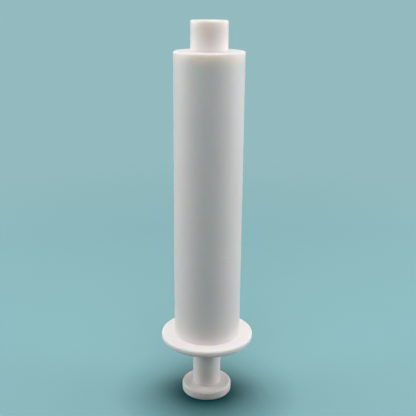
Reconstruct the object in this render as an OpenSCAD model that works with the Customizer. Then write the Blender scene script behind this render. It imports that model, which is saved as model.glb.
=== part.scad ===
// Hand syringe turned from white PTFE, standing on its thumb disc with the nozzle up.
// Every piece is turned about Z; only the guide band's cut and the cap's spanner holes are not.
// Z = 0 is the underside of the thumb disc.
// The plunger is shown pushed home: the piston's nose lies just under the barrel's end wall.

/* [Barrel] */
// Outside diameter of the barrel
barrel_d = 40; // [38:0.5:54]
// Bore of the barrel
bore_d = 30; // [28:0.5:31]
// Length of the barrel from its rear end to its front face
barrel_len = 174; // [90:0.5:300]
// Round on the barrel's front rim
barrel_round = 0.8; // [0.2:0.1:1.5]
// Thickness of the wall that closes the barrel's front end
end_wall = 8; // [5:0.5:20]

/* [Nozzle] */
// Outside diameter of the nozzle
nozzle_d = 21; // [18:0.5:28]
// Length of the nozzle in front of the barrel
nozzle_len = 16.5; // [14:0.5:40]
// Round on the nozzle's front rim
nozzle_round = 1.0; // [0.2:0.1:2]
// Diameter of the nozzle's threaded shank in the end wall
shank_d = 12; // [10:0.5:14]
// Diameter of the tube socket in the nozzle
socket_d = 8; // [4:0.5:11]
// Depth of the tube socket from the nozzle's end
socket_depth = 12; // [6:0.5:18]
// Diameter of the outlet hole from the socket through the shank
outlet_d = 4; // [1:0.5:6]
// Lead-in chamfer at the socket's mouth
socket_chamfer = 0.8; // [0.2:0.1:1.5]
// Thickness of the flat gasket under the nozzle's shoulder
gasket_t = 1; // [0.5:0.1:2]
// Width of that gasket's ring
gasket_w = 2; // [1:0.1:3]

/* [Finger flange and rear cap] */
// Outside diameter of the finger flange
flange_d = 56; // [48:0.5:90]
// Thickness of the finger flange
flange_t = 4; // [2.8:0.1:8]
// Round on the flange's two outer edges
flange_round = 1.3; // [0.3:0.1:1.3]
// Depth of the step on the barrel that the flange seats on
flange_seat = 2; // [1:0.1:2.5]
// Diameter of the rear cap's head, under the flange
cap_head_d = 42; // [40:0.5:46]
// Thickness of the rear cap's head
cap_head_t = 3; // [2:0.1:8]
// Round on the cap head's lower edge
cap_round = 1.0; // [0.3:0.1:1.8]
// Length of the cap's threaded spigot in the barrel
cap_spigot_len = 6.5; // [4:0.5:20]
// How much larger the cap's thread is than the bore
cap_thread_step = 2; // [1:0.5:3]
// Diameter of the two blind holes that a pin spanner turns the cap by
spanner_hole_d = 4; // [2:0.5:5]
// How much of the cap's head is left above the spanner holes
spanner_floor = 1; // [0.5:0.1:1.5]
// Distance between the spanner holes
spanner_pitch = 30; // [24:0.5:34]

/* [Plunger] */
// Diameter of the plunger rod
rod_d = 17; // [14:0.5:20]
// Gap between the thumb disc and the finger flange with the plunger pushed home
finger_gap = 30.5; // [10:0.5:80]
// Diameter of the thumb disc
thumb_d = 30.5; // [22:0.5:50]
// Thickness of the thumb disc
thumb_t = 6; // [4:0.5:14]
// Round on the thumb disc's upper edge
thumb_round_top = 1.4; // [0.3:0.1:2]
// Round on the thumb disc's lower edge
thumb_round_foot = 1.3; // [0.3:0.1:1.5]
// Diameter of the rod's threaded spigots
spigot_d = 10; // [6:0.5:11]
// How far the lower spigot's end stays above the thumb disc's underside
spigot_recess = 0.6; // [0.2:0.1:1.5]
// Mouth of the centre hole that the rod was turned on, in its lower end
centre_hole_d = 3.2; // [1:0.1:4]

/* [Piston and seals] */
// Thickness of the piston's nose plate and of its rear plate
plate_t = 3; // [2:0.5:8]
// Length of each seal groove
gland_len = 3.6; // [3.2:0.1:8]
// Length of the spacer's middle flange
spacer_len = 4.8; // [4.2:0.1:15]
// Length of the nose's threaded boss inside the spacer
boss_len = 6; // [3:0.5:9]
// Wall of the nose's boss around the spigot
boss_wall = 2.5; // [1.5:0.1:3]
// Radial thickness of the PTFE slipper rings
slipper_t = 1.6; // [1:0.1:2]
// Cord diameter of the rubber rings under the slippers
cord_d = 2.65; // [1.8:0.05:3]
// Length of the guide band
band_len = 3.2; // [2:0.1:3.8]
// Radial thickness of the guide band
band_t = 1.6; // [0.8:0.1:2]
// Width of the cut in the guide band
band_cut = 1; // [0.4:0.1:3]

/* [Clearances] */
// Radial gap where the slipper rings and the guide band run in the bore
bore_gap = 0.04; // [0.02:0.01:0.1]
// Radial gap where the rod runs in the rear cap
rod_gap = 0.08; // [0.02:0.01:0.1]
// Radial gap of the piston's plates and spacer in the bore
piston_gap = 0.4; // [0.2:0.05:0.8]
// Radial gap between screwed pieces
thread_gap = 0.05; // [0.02:0.01:0.1]
// Gap round a ring in its groove
groove_gap = 0.06; // [0.03:0.01:0.1]
// Gap between the piston's nose and the end wall with the plunger pushed home
nose_gap = 0.2; // [0.1:0.05:2]

/* [Hidden] */
$fn = 128;
// Lets a cutter pass the face it cuts
over = 1;
// Chamfer on turned edges that nobody touches
edge = 0.4;
// Relief at the blind end of a thread and under the end of a screwed shank
relief = 0.3;
// Angle of a centre hole's side to its axis
centre_angle = 30;

barrel_r = barrel_d / 2;
bore_r = bore_d / 2;
nozzle_r = nozzle_d / 2;
flange_r = flange_d / 2;
cap_head_r = cap_head_d / 2;
rod_r = rod_d / 2;
thumb_r = thumb_d / 2;
spigot_r = spigot_d / 2;
shank_r = shank_d / 2;
socket_r = socket_d / 2;
outlet_r = outlet_d / 2;

// Heights, from the thumb disc's underside to the nozzle's end
rear_z = thumb_t + finger_gap;
flange_top_z = rear_z + flange_t;
front_z = rear_z + barrel_len;
nozzle_z = front_z + nozzle_len;
end_z = front_z - end_wall;
gasket_z = front_z - gasket_t;
cap_stop_z = rear_z + cap_spigot_len;
socket_z = nozzle_z - socket_depth;

// Radii of the seats that one piece shares with the next
seat_r = barrel_r - flange_seat;
cap_thread_r = bore_r + cap_thread_step / 2;
shank_hole_r = shank_r + thread_gap;
gasket_r = shank_r + gasket_w;

// The piston's stack on the rod's upper spigot, from its rear plate to its nose
piston_len = 2 * plate_t + 2 * gland_len + spacer_len;
nose_z = end_z - nose_gap;
piston_z = nose_z - piston_len;
hub_z = piston_z + plate_t;
rear_gland_z = hub_z;
flange_z = rear_gland_z + gland_len;
front_gland_z = flange_z + spacer_len;
nose_plate_z = front_gland_z + gland_len;
band_z = flange_z + (spacer_len - band_len) / 2;

// Radii of the piston and its rings, from the bore inwards
piston_r = bore_r - piston_gap;
running_r = bore_r - bore_gap;
slipper_in_r = running_r - slipper_t;
cord_r = slipper_in_r - groove_gap - cord_d / 2;
hub_r = cord_r - cord_d / 2 - groove_gap;
band_in_r = running_r - band_t;
band_floor_r = band_in_r - groove_gap;
boss_r = spigot_r + boss_wall;

// Where the rod's upper spigot ends inside the nose
boss_z = nose_plate_z - boss_len;
spigot_top_z = nose_plate_z + plate_t / 2;

stroke = piston_z - cap_stop_z;
echo(stroke_mm = stroke, capacity_ml = PI * bore_r * bore_r * stroke / 1000);

// A solid of revolution from a profile with the radius along X and the height along Y
module turned() {
    rotate_extrude() children();
}

// Plain step of a profile, from one radius to another and from one height to another
module step(from_r, to_r, from_z, to_z) {
    translate([from_r, from_z]) square([to_r - from_r, to_z - from_z]);
}

// What a round takes off a profile's outer corner, above it or, with up = -1, below it
module round_cut(corner_r, corner_z, round_r, up) {
    translate([corner_r - round_r, corner_z - up * round_r])
        mirror([0, up < 0 ? 1 : 0])
            difference() {
                square(round_r + over);
                circle(round_r);
            }
}

// What a chamfer takes off a profile's corner: out is 1 on an outer edge and -1 on a bore's edge
module chamfer_cut(corner_r, corner_z, size, out, up) {
    polygon([
        [corner_r - out * size, corner_z],
        [corner_r - out * size, corner_z + up * over],
        [corner_r + out * over, corner_z + up * over],
        [corner_r + out * over, corner_z - up * size],
        [corner_r, corner_z - up * size]
    ]);
}

// Round plate that the thumb pushes, screwed on the rod's lower spigot
module thumb_disc() {
    hole_r = spigot_r + thread_gap;
    color("white") turned() difference() {
        step(hole_r, thumb_r, 0, thumb_t);
        round_cut(thumb_r, thumb_t, thumb_round_top, 1);
        round_cut(thumb_r, 0, thumb_round_foot, -1);
        chamfer_cut(hole_r, 0, edge, -1, -1);
    }
}

// Solid rod with a threaded spigot at each end
module plunger_rod() {
    centre_r = centre_hole_d / 2;
    centre_top_z = spigot_recess + centre_r / tan(centre_angle);
    color("white") turned() difference() {
        union() {
            step(0, spigot_r, spigot_recess, spigot_top_z);
            step(0, rod_r, thumb_t, piston_z);
        }
        polygon([[0, centre_top_z], [centre_r, spigot_recess], [centre_r, 0], [0, 0]]);
        chamfer_cut(spigot_r, spigot_recess, edge, 1, -1);
        chamfer_cut(spigot_r, spigot_top_z, edge, 1, 1);
        chamfer_cut(rod_r, piston_z, edge, 1, 1);
    }
}

// Plate behind the rear seal, between the rod's shoulder and the spacer
module piston_rear_plate() {
    color("white") turned() difference() {
        step(spigot_r + thread_gap, piston_r, piston_z, hub_z);
        chamfer_cut(piston_r, piston_z, edge, 1, -1);
    }
}

// Hub that both seals sit on, with a middle flange that carries the guide band
module piston_spacer() {
    color("white") turned() difference() {
        union() {
            step(spigot_r + thread_gap, hub_r, hub_z, nose_plate_z);
            step(spigot_r + thread_gap, piston_r, flange_z, front_gland_z);
        }
        step(0, boss_r + thread_gap, boss_z - relief, nose_plate_z + over);
        step(band_floor_r, piston_r + over, band_z - groove_gap, band_z + band_len + groove_gap);
    }
}

// Front plate of the piston, whose boss screws on the rod's upper spigot
module piston_nose() {
    color("white") turned() difference() {
        union() {
            step(0, boss_r, boss_z, nose_plate_z);
            step(0, piston_r, nose_plate_z, nose_z);
        }
        step(0, spigot_r + thread_gap, boss_z - over, spigot_top_z + relief);
        chamfer_cut(piston_r, nose_z, edge, 1, 1);
    }
}

// Rubber ring that presses a slipper ring outwards, in the middle of its groove
module o_ring(gland_z) {
    color("dimgray") turned() translate([cord_r, gland_z + gland_len / 2]) circle(d = cord_d);
}

// PTFE ring that seals in the bore
module slipper_ring(gland_z) {
    color("white") turned()
        step(slipper_in_r, running_r, gland_z + groove_gap, gland_z + gland_len - groove_gap);
}

// Cut band that keeps the piston straight in the bore
module guide_band() {
    color("white") difference() {
        turned() step(band_in_r, running_r, band_z, band_z + band_len);
        translate([0, -band_cut / 2, band_z - over]) cube([bore_r, band_cut, band_len + 2 * over]);
    }
}

// Screwed cap that guides the rod, stops the piston and holds the finger flange
module rear_cap() {
    hole_r = rod_r + rod_gap;
    foot_z = rear_z - cap_head_t;
    color("white") difference() {
        turned() difference() {
            union() {
                step(hole_r, cap_head_r, foot_z, rear_z);
                step(hole_r, cap_thread_r - thread_gap, rear_z, cap_stop_z);
            }
            round_cut(cap_head_r, foot_z, cap_round, -1);
            chamfer_cut(hole_r, foot_z, edge, -1, -1);
            chamfer_cut(cap_thread_r - thread_gap, cap_stop_z, edge, 1, 1);
        }
        for (side = [-1, 1])
            translate([side * spanner_pitch / 2, 0, foot_z - over])
                cylinder(d = spanner_hole_d, h = cap_head_t - spanner_floor + over);
    }
}

// Round flange for two fingers, held between the barrel's step and the rear cap
module finger_flange() {
    color("white") turned() difference() {
        step(seat_r + thread_gap, flange_r, rear_z, flange_top_z);
        round_cut(flange_r, flange_top_z, flange_round, 1);
        round_cut(flange_r, rear_z, flange_round, -1);
    }
}

// Blind-bored tube, stepped outside for the flange, tapped for the cap and for the nozzle
module barrel_tube() {
    color("white") turned() difference() {
        union() {
            step(0, seat_r, rear_z, flange_top_z);
            step(0, barrel_r, flange_top_z, front_z);
        }
        step(0, cap_thread_r, rear_z - over, cap_stop_z + relief);
        step(0, bore_r, rear_z - over, end_z);
        step(0, shank_hole_r, end_z - over, front_z + over);
        step(0, gasket_r + thread_gap, gasket_z, front_z + over);
        round_cut(barrel_r, front_z, barrel_round, 1);
    }
}

// Flat ring that seals the nozzle's shoulder in a counterbore of the end wall
module nozzle_gasket() {
    color("dimgray") turned() step(shank_hole_r, gasket_r, gasket_z, front_z);
}

// Nozzle with its tube socket, screwed into the end wall by a shank that the outlet runs through
module nozzle() {
    color("white") turned() difference() {
        union() {
            step(outlet_r, shank_r, end_z + relief, front_z);
            step(outlet_r, nozzle_r, front_z, nozzle_z);
        }
        step(0, socket_r, socket_z, nozzle_z + over);
        round_cut(nozzle_r, nozzle_z, nozzle_round, 1);
        chamfer_cut(socket_r, nozzle_z, socket_chamfer, -1, 1);
        chamfer_cut(shank_r, end_z + relief, edge, 1, -1);
    }
}

thumb_disc();
plunger_rod();
piston_rear_plate();
piston_spacer();
piston_nose();
o_ring(rear_gland_z);  // rear_o_ring
slipper_ring(rear_gland_z);  // rear_slipper_ring
guide_band();
o_ring(front_gland_z);  // front_o_ring
slipper_ring(front_gland_z);  // front_slipper_ring
rear_cap();
finger_flange();
barrel_tube();
nozzle_gasket();
nozzle();
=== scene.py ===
# A hand syringe turned from white PTFE, standing on its thumb disc with the nozzle up.
# The pieces that show are turned anew with eased edges.
# The piston, its rings and the nozzle's gasket keep their CAD shape.
import math

import bpy
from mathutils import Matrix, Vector


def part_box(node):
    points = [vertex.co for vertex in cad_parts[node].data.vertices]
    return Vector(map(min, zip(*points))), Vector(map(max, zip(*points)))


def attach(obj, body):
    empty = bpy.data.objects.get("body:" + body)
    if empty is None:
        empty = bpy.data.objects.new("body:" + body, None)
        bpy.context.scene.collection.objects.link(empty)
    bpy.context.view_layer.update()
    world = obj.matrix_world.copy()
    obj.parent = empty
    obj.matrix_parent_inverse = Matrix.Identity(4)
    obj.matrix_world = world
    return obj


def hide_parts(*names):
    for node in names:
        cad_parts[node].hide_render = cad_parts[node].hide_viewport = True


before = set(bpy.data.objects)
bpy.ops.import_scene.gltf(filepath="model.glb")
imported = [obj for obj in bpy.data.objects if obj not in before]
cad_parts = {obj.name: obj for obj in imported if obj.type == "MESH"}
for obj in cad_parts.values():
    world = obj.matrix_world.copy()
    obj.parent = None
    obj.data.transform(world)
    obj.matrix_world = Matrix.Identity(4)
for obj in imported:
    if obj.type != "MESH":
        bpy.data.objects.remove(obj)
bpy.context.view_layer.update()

MM = 0.001

# Heights and radii that the pieces share, in millimetres, from the CAD boxes
foot_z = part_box("thumb_disc")[0].z / MM
disc_top_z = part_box("thumb_disc")[1].z / MM
cap_foot_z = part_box("rear_cap")[0].z / MM
cap_stop_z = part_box("rear_cap")[1].z / MM
rear_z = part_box("finger_flange")[0].z / MM
flange_top_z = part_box("finger_flange")[1].z / MM
spigot_foot_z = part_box("plunger_rod")[0].z / MM
spigot_top_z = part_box("plunger_rod")[1].z / MM
piston_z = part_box("piston_rear_plate")[0].z / MM
gasket_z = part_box("nozzle_gasket")[0].z / MM
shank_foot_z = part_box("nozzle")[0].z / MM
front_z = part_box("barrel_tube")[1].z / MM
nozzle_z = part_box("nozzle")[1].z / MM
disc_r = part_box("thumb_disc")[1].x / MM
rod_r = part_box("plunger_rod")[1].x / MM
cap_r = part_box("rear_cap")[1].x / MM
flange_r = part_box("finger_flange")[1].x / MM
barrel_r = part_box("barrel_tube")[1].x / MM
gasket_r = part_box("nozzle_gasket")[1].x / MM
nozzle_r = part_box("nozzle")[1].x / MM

# Sizes inside the pieces, which their boxes do not give, in millimetres
SPIGOT_R = 5.0
SHANK_R = 6.0
SEAT_R = 18.0
CAP_THREAD_R = 16.0
BORE_R = 15.0
END_WALL = 8.0
SOCKET_R = 4.0
SOCKET_DEPTH = 12.0
SOCKET_CHAMFER = 0.8
OUTLET_R = 2.0
CENTRE_HOLE_R = 1.6
SPANNER_HOLE_R = 2.0
SPANNER_PITCH = 30.0
# How much of the cap's head is left above the spanner holes
SPANNER_FLOOR = 1.0
# Angle of the centre hole's side to its axis, in degrees
CENTRE_ANGLE = 30
# Clearances, and the relief at the blind end of a thread
THREAD_GAP = 0.05
ROD_GAP = 0.08
RELIEF = 0.3

end_z = front_z - END_WALL
socket_z = nozzle_z - SOCKET_DEPTH
spanner_top_z = rear_z - SPANNER_FLOOR
centre_depth = CENTRE_HOLE_R / math.tan(math.radians(CENTRE_ANGLE))

# Edges of turned pieces: the rounds that show, the chamfers, and the break that a deburring blade leaves
NOZZLE_ROUND = 1.0
BARREL_ROUND = 0.8
FLANGE_ROUND = 1.3
CAP_ROUND = 1.0
DISC_ROUND_TOP = 1.4
DISC_ROUND_FOOT = 1.3
CHAMFER = 0.4
BREAK = 0.12
SHARP = 0.0

# Faces across a round, across a break, round a turned piece and round a drilled hole
ROUND_STEPS = 8
BREAK_STEPS = 2
TURN_STEPS = 192
DRILL_STEPS = 64
# A drill starts this far outside the face that it enters
DRILL_OVER = 1.0
# Points this close to each other are one, and a point this close to a corner lies on it
MERGE = 0.0001
ON_CORNER = 0.001
# Edges that turn by more than this, in degrees, show as edges
EDGE_ANGLE = 40
# How far large flats set the shading of the small faces beside them, from 1 to 100
FLAT_WEIGHT = 100


def pick(piece):
    """Selects a piece alone"""
    bpy.ops.object.select_all(action="DESELECT")
    bpy.context.view_layer.objects.active = piece
    piece.select_set(True)


def edit(piece):
    """Opens a piece alone in edit mode, with all of it selected"""
    pick(piece)
    bpy.ops.object.mode_set(mode="EDIT")
    bpy.ops.mesh.select_all(action="SELECT")


def select_points(piece, corners):
    """Selects the section's points that lie on the given corners"""
    bpy.ops.mesh.select_all(action="DESELECT")
    bpy.ops.object.mode_set(mode="OBJECT")
    for point in piece.data.vertices:
        point.select = any(
            math.hypot(point.co.x - radius * MM, point.co.z - height * MM) < ON_CORNER * MM
            for radius, height, _ in corners
        )
    bpy.ops.object.mode_set(mode="EDIT")


def draw_section(name, corners, closed):
    """Draws half of a piece's section as a wire in the XZ plane, and stays in edit mode"""
    bpy.ops.object.select_all(action="DESELECT")
    bpy.ops.mesh.primitive_plane_add(size=MM)
    piece = bpy.context.object
    piece.name = name
    piece.data.name = name
    edit(piece)
    bpy.ops.mesh.merge(type="CENTER")
    radius, height, _ = corners[0]
    bpy.ops.transform.translate(value=(radius * MM, 0, height * MM))
    for (from_r, from_z, _), (to_r, to_z, _) in zip(corners, corners[1:]):
        step = ((to_r - from_r) * MM, 0, (to_z - from_z) * MM)
        bpy.ops.mesh.extrude_vertices_move(TRANSFORM_OT_translate={"value": step})
    if closed:
        select_points(piece, corners[:1] + corners[-1:])
        bpy.ops.mesh.edge_face_add()
    return piece


def turn(name, corners, closed=True):
    """Turns a piece about Z from corners of (radius, height, ease); ease rounds that corner"""
    piece = draw_section(name, corners, closed)
    bpy.ops.mesh.select_mode(type="VERT")
    for ease in sorted({ease for _, _, ease in corners if ease > 0}):
        select_points(piece, [corner for corner in corners if corner[2] == ease])
        steps = ROUND_STEPS if ease > CHAMFER else BREAK_STEPS
        bpy.ops.mesh.bevel(offset=ease * MM, segments=steps, affect="VERTICES", clamp_overlap=False)
    bpy.ops.mesh.select_all(action="SELECT")
    bpy.ops.mesh.spin(steps=TURN_STEPS, angle=math.tau, center=(0, 0, 0), axis=(0, 0, 1))
    bpy.ops.mesh.select_all(action="SELECT")
    bpy.ops.mesh.remove_doubles(threshold=MERGE * MM)
    bpy.ops.mesh.normals_make_consistent(inside=False)
    bpy.ops.object.mode_set(mode="OBJECT")
    return piece


def drill(piece, radius, low_z, high_z, places):
    """Cuts round holes of one radius into a piece, each at an (x, y) place"""
    for x, y in places:
        bpy.ops.object.select_all(action="DESELECT")
        bpy.ops.mesh.primitive_cylinder_add(
            vertices=DRILL_STEPS,
            radius=radius * MM,
            depth=(high_z - low_z) * MM,
            location=(x * MM, y * MM, (low_z + high_z) / 2 * MM),
        )
        cutter = bpy.context.object
        pick(piece)
        cut = piece.modifiers.new("drill", "BOOLEAN")
        cut.operation = "DIFFERENCE"
        cut.solver = "EXACT"
        cut.object = cutter
        bpy.ops.object.modifier_apply(modifier=cut.name)
        bpy.data.objects.remove(cutter)
    edit(piece)
    bpy.ops.mesh.remove_doubles(threshold=MERGE * MM)
    bpy.ops.object.mode_set(mode="OBJECT")


def finish_faces(piece):
    """Shades rounds smooth and keeps the flats beside them flat"""
    pick(piece)
    bpy.ops.object.shade_smooth_by_angle(angle=math.radians(EDGE_ANGLE))
    flats = piece.modifiers.new("flats", "WEIGHTED_NORMAL")
    flats.keep_sharp = True
    flats.weight = FLAT_WEIGHT
    bpy.ops.object.modifier_apply(modifier=flats.name)


def thumb_disc():
    """Disc that the thumb pushes, with a hole for the rod's lower spigot"""
    hole_r = SPIGOT_R + THREAD_GAP
    return turn("thumb_disc_turned", [
        (hole_r + CHAMFER, foot_z, SHARP),
        (disc_r, foot_z, DISC_ROUND_FOOT),
        (disc_r, disc_top_z, DISC_ROUND_TOP),
        (hole_r, disc_top_z, BREAK),
        (hole_r, foot_z + CHAMFER, SHARP),
    ])


def plunger_rod():
    """Rod with a spigot at either end, and a centre hole in the lower one"""
    return turn("plunger_rod_turned", [
        (0, spigot_foot_z + centre_depth, SHARP),
        (CENTRE_HOLE_R, spigot_foot_z, BREAK),
        (SPIGOT_R - CHAMFER, spigot_foot_z, SHARP),
        (SPIGOT_R, spigot_foot_z + CHAMFER, SHARP),
        (SPIGOT_R, disc_top_z, SHARP),
        (rod_r, disc_top_z, BREAK),
        (rod_r, piston_z - CHAMFER, SHARP),
        (rod_r - CHAMFER, piston_z, SHARP),
        (SPIGOT_R, piston_z, SHARP),
        (SPIGOT_R, spigot_top_z - CHAMFER, SHARP),
        (SPIGOT_R - CHAMFER, spigot_top_z, SHARP),
        (0, spigot_top_z, SHARP),
    ], closed=False)


def rear_cap():
    """Screwed cap that guides the rod, with two blind holes for a pin spanner"""
    hole_r = rod_r + ROD_GAP
    thread_r = CAP_THREAD_R - THREAD_GAP
    piece = turn("rear_cap_turned", [
        (hole_r + CHAMFER, cap_foot_z, SHARP),
        (cap_r, cap_foot_z, CAP_ROUND),
        (cap_r, rear_z, BREAK),
        (thread_r, rear_z, SHARP),
        (thread_r, cap_stop_z - CHAMFER, SHARP),
        (thread_r - CHAMFER, cap_stop_z, SHARP),
        (hole_r, cap_stop_z, BREAK),
        (hole_r, cap_foot_z + CHAMFER, SHARP),
    ])
    half = SPANNER_PITCH / 2
    drill(piece, SPANNER_HOLE_R, cap_foot_z - DRILL_OVER, spanner_top_z, [(-half, 0), (half, 0)])
    return piece


def finger_flange():
    """Ring for two fingers, on the step at the barrel's rear end"""
    hole_r = SEAT_R + THREAD_GAP
    return turn("finger_flange_turned", [
        (hole_r, rear_z, BREAK),
        (flange_r, rear_z, FLANGE_ROUND),
        (flange_r, flange_top_z, FLANGE_ROUND),
        (hole_r, flange_top_z, SHARP),
    ])


def barrel_tube():
    """Tube bored from the rear, with the cap's thread there and the nozzle's seat in its end wall"""
    shank_hole_r = SHANK_R + THREAD_GAP
    counterbore_r = gasket_r + THREAD_GAP
    return turn("barrel_tube_turned", [
        (CAP_THREAD_R, rear_z, BREAK),
        (SEAT_R, rear_z, BREAK),
        (SEAT_R, flange_top_z, SHARP),
        (barrel_r, flange_top_z, BREAK),
        (barrel_r, front_z, BARREL_ROUND),
        (counterbore_r, front_z, SHARP),
        (counterbore_r, gasket_z, SHARP),
        (shank_hole_r, gasket_z, SHARP),
        (shank_hole_r, end_z, BREAK),
        (BORE_R, end_z, SHARP),
        (BORE_R, cap_stop_z + RELIEF, BREAK),
        (CAP_THREAD_R, cap_stop_z + RELIEF, SHARP),
    ])


def nozzle():
    """Stub on a screwed shank, with a tube socket and the outlet behind it"""
    return turn("nozzle_turned", [
        (OUTLET_R, shank_foot_z, BREAK),
        (SHANK_R - CHAMFER, shank_foot_z, SHARP),
        (SHANK_R, shank_foot_z + CHAMFER, SHARP),
        (SHANK_R, front_z, SHARP),
        (nozzle_r, front_z, BREAK),
        (nozzle_r, nozzle_z, NOZZLE_ROUND),
        (SOCKET_R + SOCKET_CHAMFER, nozzle_z, BREAK),
        (SOCKET_R, nozzle_z - SOCKET_CHAMFER, BREAK),
        (SOCKET_R, socket_z, SHARP),
        (OUTLET_R, socket_z, BREAK),
    ])


def linear(code):
    """sRGB hex to the linear colour that shaders take"""
    values = [int(code[i:i + 2], 16) / 255 for i in (1, 3, 5)]
    return tuple(v / 12.92 if v <= 0.04045 else ((v + 0.055) / 1.055) ** 2.4 for v in values) + (1.0,)


def add(tree, kind, inputs=None, **settings):
    """Adds a node with its settings; an input is linked where it is given a socket"""
    made = tree.nodes.new(kind)
    for name, value in settings.items():
        setattr(made, name, value)
    for name, value in (inputs or {}).items():
        if isinstance(value, bpy.types.NodeSocket):
            tree.links.new(value, made.inputs[name])
        else:
            made.inputs[name].default_value = value
    return made


def new_material(name):
    """An empty material and its node tree"""
    material = bpy.data.materials.new(name)
    material.use_nodes = True
    material.node_tree.nodes.clear()
    return material, material.node_tree


# Finish of the turned pieces, in millimetres

# Free outer edges, as (radius, height); the glow round them fades between these two distances
RIMS = [
    (nozzle_r, nozzle_z),
    (barrel_r, front_z),
    (flange_r, flange_top_z),
    (disc_r, disc_top_z),
]
RIM_NEAR = 2.0
RIM_FAR = 17.0
# Circles where one piece meets the next, as (radius, height), and how far from them the glow is weaker
JOINTS = [
    (nozzle_r, front_z),
    (barrel_r, flange_top_z),
    (cap_r, rear_z),
    (rod_r, disc_top_z),
]
JOINT_REACH = 10.0
# Share of the light that sinks in at a rim and away from it, and how much of that is left at a joint
SINK_AT_RIM = 1.0
SINK_AWAY = 0.35
LEFT_AT_JOINT = 0.25
# How far that light travels in the thin disc and flange, and in the barrel from this height above the flange
TRAVEL_THIN = 5.0
TRAVEL_THICK = 12.0
THICK_FROM = 20.0
# Share of that way for red, green and blue: red goes farthest, so the glow is warm
TRAVEL_COLOURS = (1.0, 0.5, 0.32)
# Clouds in the white, patches of gloss, and tool rings, drawn coarser than the real feed of 0.2 mm to show
CLOUD_SIZE = 22.0
GLOSS_SIZE = 9.0
RING_SPACING = 0.9
# Where the normal's Z, up or down, is above this, a surface is a face, and else a wall
FACE_FROM = 0.7
# Scratches round the axis: height, then middle angle and half length in degrees
SCRATCHES = [
    (95.9, -62, 10),
    (94.7, -54, 12),
    (92.9, -55, 5),
    (151.0, 38, 11),
    (150.2, 41, 6),
    (71.5, 146, 9),
    (178.4, -158, 7),
]
# A scratch fades over this distance from its line, drawn wider than a real hairline scratch to show
SCRATCH_FADE = 0.4
# Depth of rings and scratches
SKIN_DEPTH = 0.05
# Roughness where the skin is handled most and least, and the noise values that stand for these
HANDLED_ROUGHNESS = 0.38
CLEAN_ROUGHNESS = 0.5
HANDLED_AT = 0.3
CLEAN_AT = 0.7


def nearest(tree, section, circles):
    """Distance from a place in the section to the nearest of some circles round the axis"""
    least = None
    for radius, height in circles:
        circle = (radius * MM, height * MM, 0)
        gap = add(tree, "ShaderNodeVectorMath", {0: section, 1: circle}, operation="DISTANCE")
        if least is None:
            least = gap.outputs["Value"]
        else:
            closer = add(tree, "ShaderNodeMath", {0: least, 1: gap.outputs["Value"]}, operation="MINIMUM")
            least = closer.outputs[0]
    return least


def sunk_light(tree, section):
    """Share of light that sinks in: it shows round free rims, and at a joint it passes into the next piece"""
    at_rim = add(tree, "ShaderNodeMapRange", {
        "Value": nearest(tree, section, RIMS),
        "From Min": RIM_NEAR * MM,
        "From Max": RIM_FAR * MM,
        "To Min": SINK_AT_RIM,
        "To Max": SINK_AWAY,
    }, interpolation_type="SMOOTHSTEP")
    at_joint = add(tree, "ShaderNodeMapRange", {
        "Value": nearest(tree, section, JOINTS),
        "From Min": 0.0,
        "From Max": JOINT_REACH * MM,
        "To Min": LEFT_AT_JOINT,
        "To Max": 1.0,
    }, interpolation_type="SMOOTHSTEP")
    sink = add(tree, "ShaderNodeMath", {0: at_rim.outputs[0], 1: at_joint.outputs[0]}, operation="MULTIPLY")
    return sink.outputs[0]


def tool_rings(tree, axes, radius, normal):
    """Height of the rings that the tool left, along the axis on walls and outwards on faces"""
    facing = add(tree, "ShaderNodeSeparateXYZ", {0: normal})
    upright = add(tree, "ShaderNodeMath", {0: facing.outputs["Z"]}, operation="ABSOLUTE")
    on_face = add(tree, "ShaderNodeMath", {0: upright.outputs[0], 1: FACE_FROM}, operation="GREATER_THAN")
    feed = add(tree, "ShaderNodeMix", {
        "Factor": on_face.outputs[0], "A": axes.outputs["Z"], "B": radius,
    }, data_type="FLOAT")
    count = add(tree, "ShaderNodeMath", {
        0: feed.outputs[0], 1: 1 / (RING_SPACING * MM),
    }, operation="MULTIPLY")
    rings = add(tree, "ShaderNodeTexNoise", {
        "W": count.outputs[0], "Scale": 1.0, "Detail": 2.0,
    }, noise_dimensions="1D")
    return rings.outputs["Fac"]


def scratch_marks(tree, axes):
    """1 on a scratch, fading to 0 beside it and towards its ends"""
    angle = add(tree, "ShaderNodeMath", {0: axes.outputs["Y"], 1: axes.outputs["X"]}, operation="ARCTAN2")
    marks = None
    for height, middle, half_length in SCRATCHES:
        above = add(tree, "ShaderNodeMath", {0: axes.outputs["Z"], 1: height * MM}, operation="SUBTRACT")
        off_line = add(tree, "ShaderNodeMath", {0: above.outputs[0]}, operation="ABSOLUTE")
        across = add(tree, "ShaderNodeMapRange", {
            "Value": off_line.outputs[0],
            "From Min": 0.0,
            "From Max": SCRATCH_FADE * MM,
            "To Min": 1.0,
            "To Max": 0.0,
        })
        past = add(tree, "ShaderNodeMath", {
            0: angle.outputs[0], 1: math.radians(middle),
        }, operation="SUBTRACT")
        off_middle = add(tree, "ShaderNodeMath", {0: past.outputs[0]}, operation="ABSOLUTE")
        along = add(tree, "ShaderNodeMapRange", {
            "Value": off_middle.outputs[0],
            "From Min": 0.0,
            "From Max": math.radians(half_length),
            "To Min": 1.0,
            "To Max": 0.0,
        }, interpolation_type="SMOOTHSTEP")
        mark = add(tree, "ShaderNodeMath", {0: across.outputs[0], 1: along.outputs[0]}, operation="MULTIPLY")
        if marks is None:
            marks = mark.outputs[0]
        else:
            either = add(tree, "ShaderNodeMath", {0: marks, 1: mark.outputs[0]}, operation="MAXIMUM")
            marks = either.outputs[0]
    return marks


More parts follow.
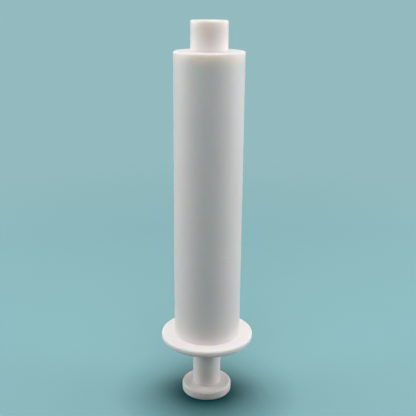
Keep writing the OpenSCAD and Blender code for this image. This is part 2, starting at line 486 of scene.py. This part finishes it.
def turned_ptfe():
    """PTFE bar turned on a lathe: waxy white that glows warm at its rims, with faint rings from the tool"""
    material, tree = new_material("turned PTFE")
    place = add(tree, "ShaderNodeTexCoord")
    axes = add(tree, "ShaderNodeSeparateXYZ", {0: place.outputs["Object"]})
    from_axis = add(tree, "ShaderNodeCombineXYZ", {"X": axes.outputs["X"], "Y": axes.outputs["Y"]})
    radius = add(tree, "ShaderNodeVectorMath", {0: from_axis.outputs[0]}, operation="LENGTH")
    section = add(tree, "ShaderNodeCombineXYZ", {"X": radius.outputs["Value"], "Y": axes.outputs["Z"]})
    sink = sunk_light(tree, section.outputs[0])
    travel = add(tree, "ShaderNodeMapRange", {
        "Value": axes.outputs["Z"],
        "From Min": flange_top_z * MM,
        "From Max": (flange_top_z + THICK_FROM) * MM,
        "To Min": TRAVEL_THIN * MM,
        "To Max": TRAVEL_THICK * MM,
    })

    # Clouds of slightly denser and thinner white, and scratches that are lighter still
    cloud = add(tree, "ShaderNodeTexNoise", {
        "Vector": place.outputs["Object"], "Scale": 1 / (CLOUD_SIZE * MM), "Detail": 3.0,
    })
    white = add(tree, "ShaderNodeMix", {
        "Factor": cloud.outputs["Fac"], "A": linear("#FAF0EF"), "B": linear("#F5EBE9"),
    }, data_type="RGBA")
    scratches = scratch_marks(tree, axes)
    pale = add(tree, "ShaderNodeMix", {
        "Factor": scratches, "A": white.outputs["Result"], "B": linear("#FFFFFF"),
    }, data_type="RGBA")

    # Handling leaves the skin a little glossier in patches
    handled = add(tree, "ShaderNodeTexNoise", {
        "Vector": place.outputs["Object"], "Scale": 1 / (GLOSS_SIZE * MM), "Detail": 4.0,
    })
    gloss = add(tree, "ShaderNodeMapRange", {
        "Value": handled.outputs["Fac"],
        "From Min": HANDLED_AT,
        "From Max": CLEAN_AT,
        "To Min": HANDLED_ROUGHNESS,
        "To Max": CLEAN_ROUGHNESS,
    })
    rings = tool_rings(tree, axes, radius.outputs["Value"], place.outputs["Normal"])
    relief = add(tree, "ShaderNodeMath", {0: rings, 1: scratches}, operation="SUBTRACT")
    bump = add(tree, "ShaderNodeBump", {
        "Height": relief.outputs[0], "Strength": 0.25, "Distance": SKIN_DEPTH * MM,
    })
    skin = add(tree, "ShaderNodeBsdfPrincipled", {
        "Base Color": pale.outputs["Result"],
        "Roughness": gloss.outputs[0],
        "IOR": 1.35,
        "Normal": bump.outputs[0],
        "Subsurface Weight": sink,
        "Subsurface Radius": TRAVEL_COLOURS,
        "Subsurface Scale": travel.outputs[0],
    }, subsurface_method="RANDOM_WALK")
    add(tree, "ShaderNodeOutputMaterial", {"Surface": skin.outputs[0]})
    return material


# Finish of the rubber rings: the bloom's size and depth in millimetres, and the roughness without and with it
BLOOM_SIZE = 3.0
BLOOM_DEPTH = 0.05
RUBBER_ROUGHNESS = 0.45
BLOOM_ROUGHNESS = 0.7


def moulded_rubber():
    """Moulded fluoroelastomer: black, with a soft sheen and a faint dull bloom"""
    material, tree = new_material("moulded rubber")
    place = add(tree, "ShaderNodeTexCoord")
    bloom = add(tree, "ShaderNodeTexNoise", {
        "Vector": place.outputs["Object"], "Scale": 1 / (BLOOM_SIZE * MM), "Detail": 4.0,
    })
    shade = add(tree, "ShaderNodeMix", {
        "Factor": bloom.outputs["Fac"], "A": linear("#1B1B1C"), "B": linear("#2E2D2C"),
    }, data_type="RGBA")
    dull = add(tree, "ShaderNodeMapRange", {
        "Value": bloom.outputs["Fac"], "To Min": RUBBER_ROUGHNESS, "To Max": BLOOM_ROUGHNESS,
    })
    grain = add(tree, "ShaderNodeBump", {
        "Height": bloom.outputs["Fac"], "Strength": 0.2, "Distance": BLOOM_DEPTH * MM,
    })
    skin = add(tree, "ShaderNodeBsdfPrincipled", {
        "Base Color": shade.outputs["Result"],
        "Roughness": dull.outputs[0],
        "IOR": 1.5,
        "Normal": grain.outputs[0],
    })
    add(tree, "ShaderNodeOutputMaterial", {"Surface": skin.outputs[0]})
    return material


def dress(piece, material):
    """Gives a piece one material in its only slot"""
    piece.data.materials.clear()
    piece.data.materials.append(material)


# Each piece in its finish

PTFE = turned_ptfe()
RUBBER = moulded_rubber()
RUBBER_NODES = ("rear_o_ring", "front_o_ring", "nozzle_gasket")
TURNED = {
    "thumb_disc": (thumb_disc, "plunger"),
    "plunger_rod": (plunger_rod, "plunger"),
    "rear_cap": (rear_cap, "barrel"),
    "finger_flange": (finger_flange, "barrel"),
    "barrel_tube": (barrel_tube, "barrel"),
    "nozzle": (nozzle, "barrel"),
}

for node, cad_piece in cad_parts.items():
    dress(cad_piece, RUBBER if node in RUBBER_NODES else PTFE)
for node, (make, body) in TURNED.items():
    piece = make()
    finish_faces(piece)
    dress(piece, PTFE)
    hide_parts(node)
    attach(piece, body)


# Floor, light and camera, in metres

BACKDROP = linear("#93BBBF")
FLOOR_SIZE = 30.0
# Between these distances from the axis, the floor fades into the backdrop
FADE_FROM = 0.18
FADE_TO = 0.65
# Painted shadow: the floor's colour darkens by how much of the sky the object hides within this distance, to
# this power
SHADOW_REACH = 0.05
SHADOW_POWER = 2.6
# The sky is looked for upwards and to the back, where more of the light comes from, so the painted shadow
# leans to the front
LOOK_BACK = 0.6
LOOK_UP = 0.8
# Between these distances from the axis, the floor throws less and less light back on the object
BOUNCE_FROM = 0.03
BOUNCE_TO = 0.12
# Weak light from all round, from above and from below the horizon
FILL_ABOVE = 0.01
FILL_BELOW = 0.19
# Where the lamps point
LAMP_AIM = (0, 0, 0.15)
# The photograph's camera: sensor and focal length in millimetres, tilt down and roll in radians
SENSOR_W = 36
FOCAL_LENGTH = 60.96
CAMERA_PLACE = (0, -0.39669, 0.24125)
CAMERA_TILT = 0.29676
CAMERA_ROLL = 0.00824


def seen(tree):
    """1 for rays that show a picture of what they meet, 0 for rays that only gather light"""
    rays = add(tree, "ShaderNodeLightPath")
    direct = add(tree, "ShaderNodeMath", {
        0: rays.outputs["Is Camera Ray"], 1: rays.outputs["Is Glossy Ray"],
    }, operation="MAXIMUM")
    return add(tree, "ShaderNodeMath", {
        0: direct.outputs[0], 1: rays.outputs["Is Transmission Ray"],
    }, operation="MAXIMUM").outputs[0]


def floor_finish():
    """Plain and pale: it keeps the lamps' shadow and a painted shadow round the foot, fades into the backdrop
    far off and is clear from below
    """
    material, tree = new_material("floor")
    in_sight = seen(tree)
    look = add(tree, "ShaderNodeCombineXYZ", {"Y": LOOK_BACK, "Z": LOOK_UP})
    open_sky = add(tree, "ShaderNodeAmbientOcclusion", {
        "Distance": SHADOW_REACH, "Normal": look.outputs[0],
    }, samples=16)
    painted_shadow = add(tree, "ShaderNodeMath", {0: open_sky.outputs["AO"], 1: SHADOW_POWER}, operation="POWER")
    # Painted shadow: the seen colour runs from pale teal to dark teal where the object hides the sky
    shade = add(tree, "ShaderNodeMix", {
        "Factor": painted_shadow.outputs[0], "A": linear("#05464B"), "B": linear("#89B6BB"),
    }, data_type="RGBA")
    # Painted shade in the bounce: the colour that throws light back on the object darkens there too
    bounce = add(tree, "ShaderNodeMix", {
        "Factor": painted_shadow.outputs[0], "A": linear("#0F2A2C"), "B": linear("#457C7E"),
    }, data_type="RGBA")
    tone = add(tree, "ShaderNodeMix", {
        "Factor": in_sight, "A": bounce.outputs["Result"], "B": shade.outputs["Result"],
    }, data_type="RGBA")
    near = add(tree, "ShaderNodeBsdfDiffuse", {"Color": tone.outputs["Result"]})
    far = add(tree, "ShaderNodeEmission", {"Color": BACKDROP})
    place = add(tree, "ShaderNodeTexCoord")
    away = add(tree, "ShaderNodeVectorMath", {0: place.outputs["Object"]}, operation="LENGTH")
    fade = add(tree, "ShaderNodeMapRange", {
        "Value": away.outputs["Value"], "From Min": FADE_FROM, "From Max": FADE_TO,
    }, interpolation_type="SMOOTHSTEP")
    top = add(tree, "ShaderNodeMixShader", {0: fade.outputs[0], 1: near.outputs[0], 2: far.outputs[0]})

    # Rays that only gather light meet the floor round the foot, and elsewhere the weak light from below
    by_foot = add(tree, "ShaderNodeMapRange", {
        "Value": away.outputs["Value"],
        "From Min": BOUNCE_FROM,
        "From Max": BOUNCE_TO,
        "To Min": 1.0,
        "To Max": 0.0,
    }, interpolation_type="SMOOTHSTEP")
    beside = add(tree, "ShaderNodeMath", {
        0: away.outputs["Value"], 1: disc_r * MM,
    }, operation="GREATER_THAN")
    ring = add(tree, "ShaderNodeMath", {0: by_foot.outputs[0], 1: beside.outputs[0]}, operation="MULTIPLY")
    met = add(tree, "ShaderNodeMath", {0: in_sight, 1: ring.outputs[0]}, operation="MAXIMUM")
    side = add(tree, "ShaderNodeNewGeometry")
    shown = add(tree, "ShaderNodeMath", {
        0: met.outputs[0], 1: side.outputs["Backfacing"],
    }, operation="SUBTRACT", use_clamp=True)
    clear = add(tree, "ShaderNodeBsdfTransparent")
    both = add(tree, "ShaderNodeMixShader", {0: shown.outputs[0], 1: clear.outputs[0], 2: top.outputs[0]})
    add(tree, "ShaderNodeOutputMaterial", {"Surface": both.outputs[0]})
    return material


def floor():
    """A wide plane at the height of the disc's underside"""
    bpy.ops.object.select_all(action="DESELECT")
    bpy.ops.mesh.primitive_plane_add(size=FLOOR_SIZE)
    ground = bpy.context.object
    ground.name = "floor"
    dress(ground, floor_finish())


def softbox(name, size, place, level):
    """A rectangular lamp; level is about what a white card at the aim would read in its light"""
    lamp = bpy.data.lights.new(name, "AREA")
    lamp.shape = "RECTANGLE"
    lamp.size, lamp.size_y = size
    way = Vector(LAMP_AIM) - Vector(place)
    lamp.energy = level * math.pi ** 2 * way.length_squared
    holder = bpy.data.objects.new(name, lamp)
    bpy.context.scene.collection.objects.link(holder)
    holder.visible_camera = False
    holder.location = place
    holder.rotation_euler = way.to_track_quat("-Z", "Y").to_euler()


def surroundings():
    """Weak light, more of it from below as off a floor, and the backdrop's colour where one looks past"""
    world = bpy.data.worlds.new("surroundings")
    bpy.context.scene.world = world
    world.use_nodes = True
    tree = world.node_tree
    tree.nodes.clear()
    place = add(tree, "ShaderNodeTexCoord")
    axes = add(tree, "ShaderNodeSeparateXYZ", {0: place.outputs["Generated"]})
    below = add(tree, "ShaderNodeMath", {0: axes.outputs["Z"], 1: 0.0}, operation="LESS_THAN")
    level = add(tree, "ShaderNodeMapRange", {
        "Value": below.outputs[0], "To Min": FILL_ABOVE, "To Max": FILL_BELOW,
    })
    tint = add(tree, "ShaderNodeMix", {
        "Factor": below.outputs[0], "A": linear("#FFFFFF"), "B": linear("#A6DCDF"),
    }, data_type="RGBA")
    fill = add(tree, "ShaderNodeBackground", {"Color": tint.outputs["Result"], "Strength": level.outputs[0]})
    past = add(tree, "ShaderNodeBackground", {"Color": BACKDROP, "Strength": 1.0})
    both = add(tree, "ShaderNodeMixShader", {0: seen(tree), 1: fill.outputs[0], 2: past.outputs[0]})
    add(tree, "ShaderNodeOutputWorld", {"Surface": both.outputs[0]})


def camera():
    """Stands where the photograph was taken from: a little above the nozzle, looking down 17 degrees"""
    lens = bpy.data.cameras.new("camera")
    lens.sensor_width = SENSOR_W
    lens.lens = FOCAL_LENGTH
    holder = bpy.data.objects.new("camera", lens)
    bpy.context.scene.collection.objects.link(holder)
    holder.location = CAMERA_PLACE
    holder.rotation_mode = "ZXY"
    holder.rotation_euler = (math.pi / 2 - CAMERA_TILT, 0, CAMERA_ROLL)
    bpy.context.scene.camera = holder


floor()
softbox("overhead", size=(2.4, 2.4), place=(0, 0.45, 3.0), level=0.58)
softbox("over_front", size=(0.7, 0.45), place=(0, -0.4, 1.16), level=0.3)
softbox("front", size=(0.8, 0.55), place=(0, -1.2, 0.75), level=0.145)
softbox("left_wall", size=(1.0, 0.7), place=(-1.0, 0.15, 0.38), level=0.68)
softbox("right_wall", size=(1.0, 0.7), place=(1.0, 0.15, 0.38), level=0.76)
surroundings()
camera()
bpy.context.scene.view_settings.view_transform = "Standard"
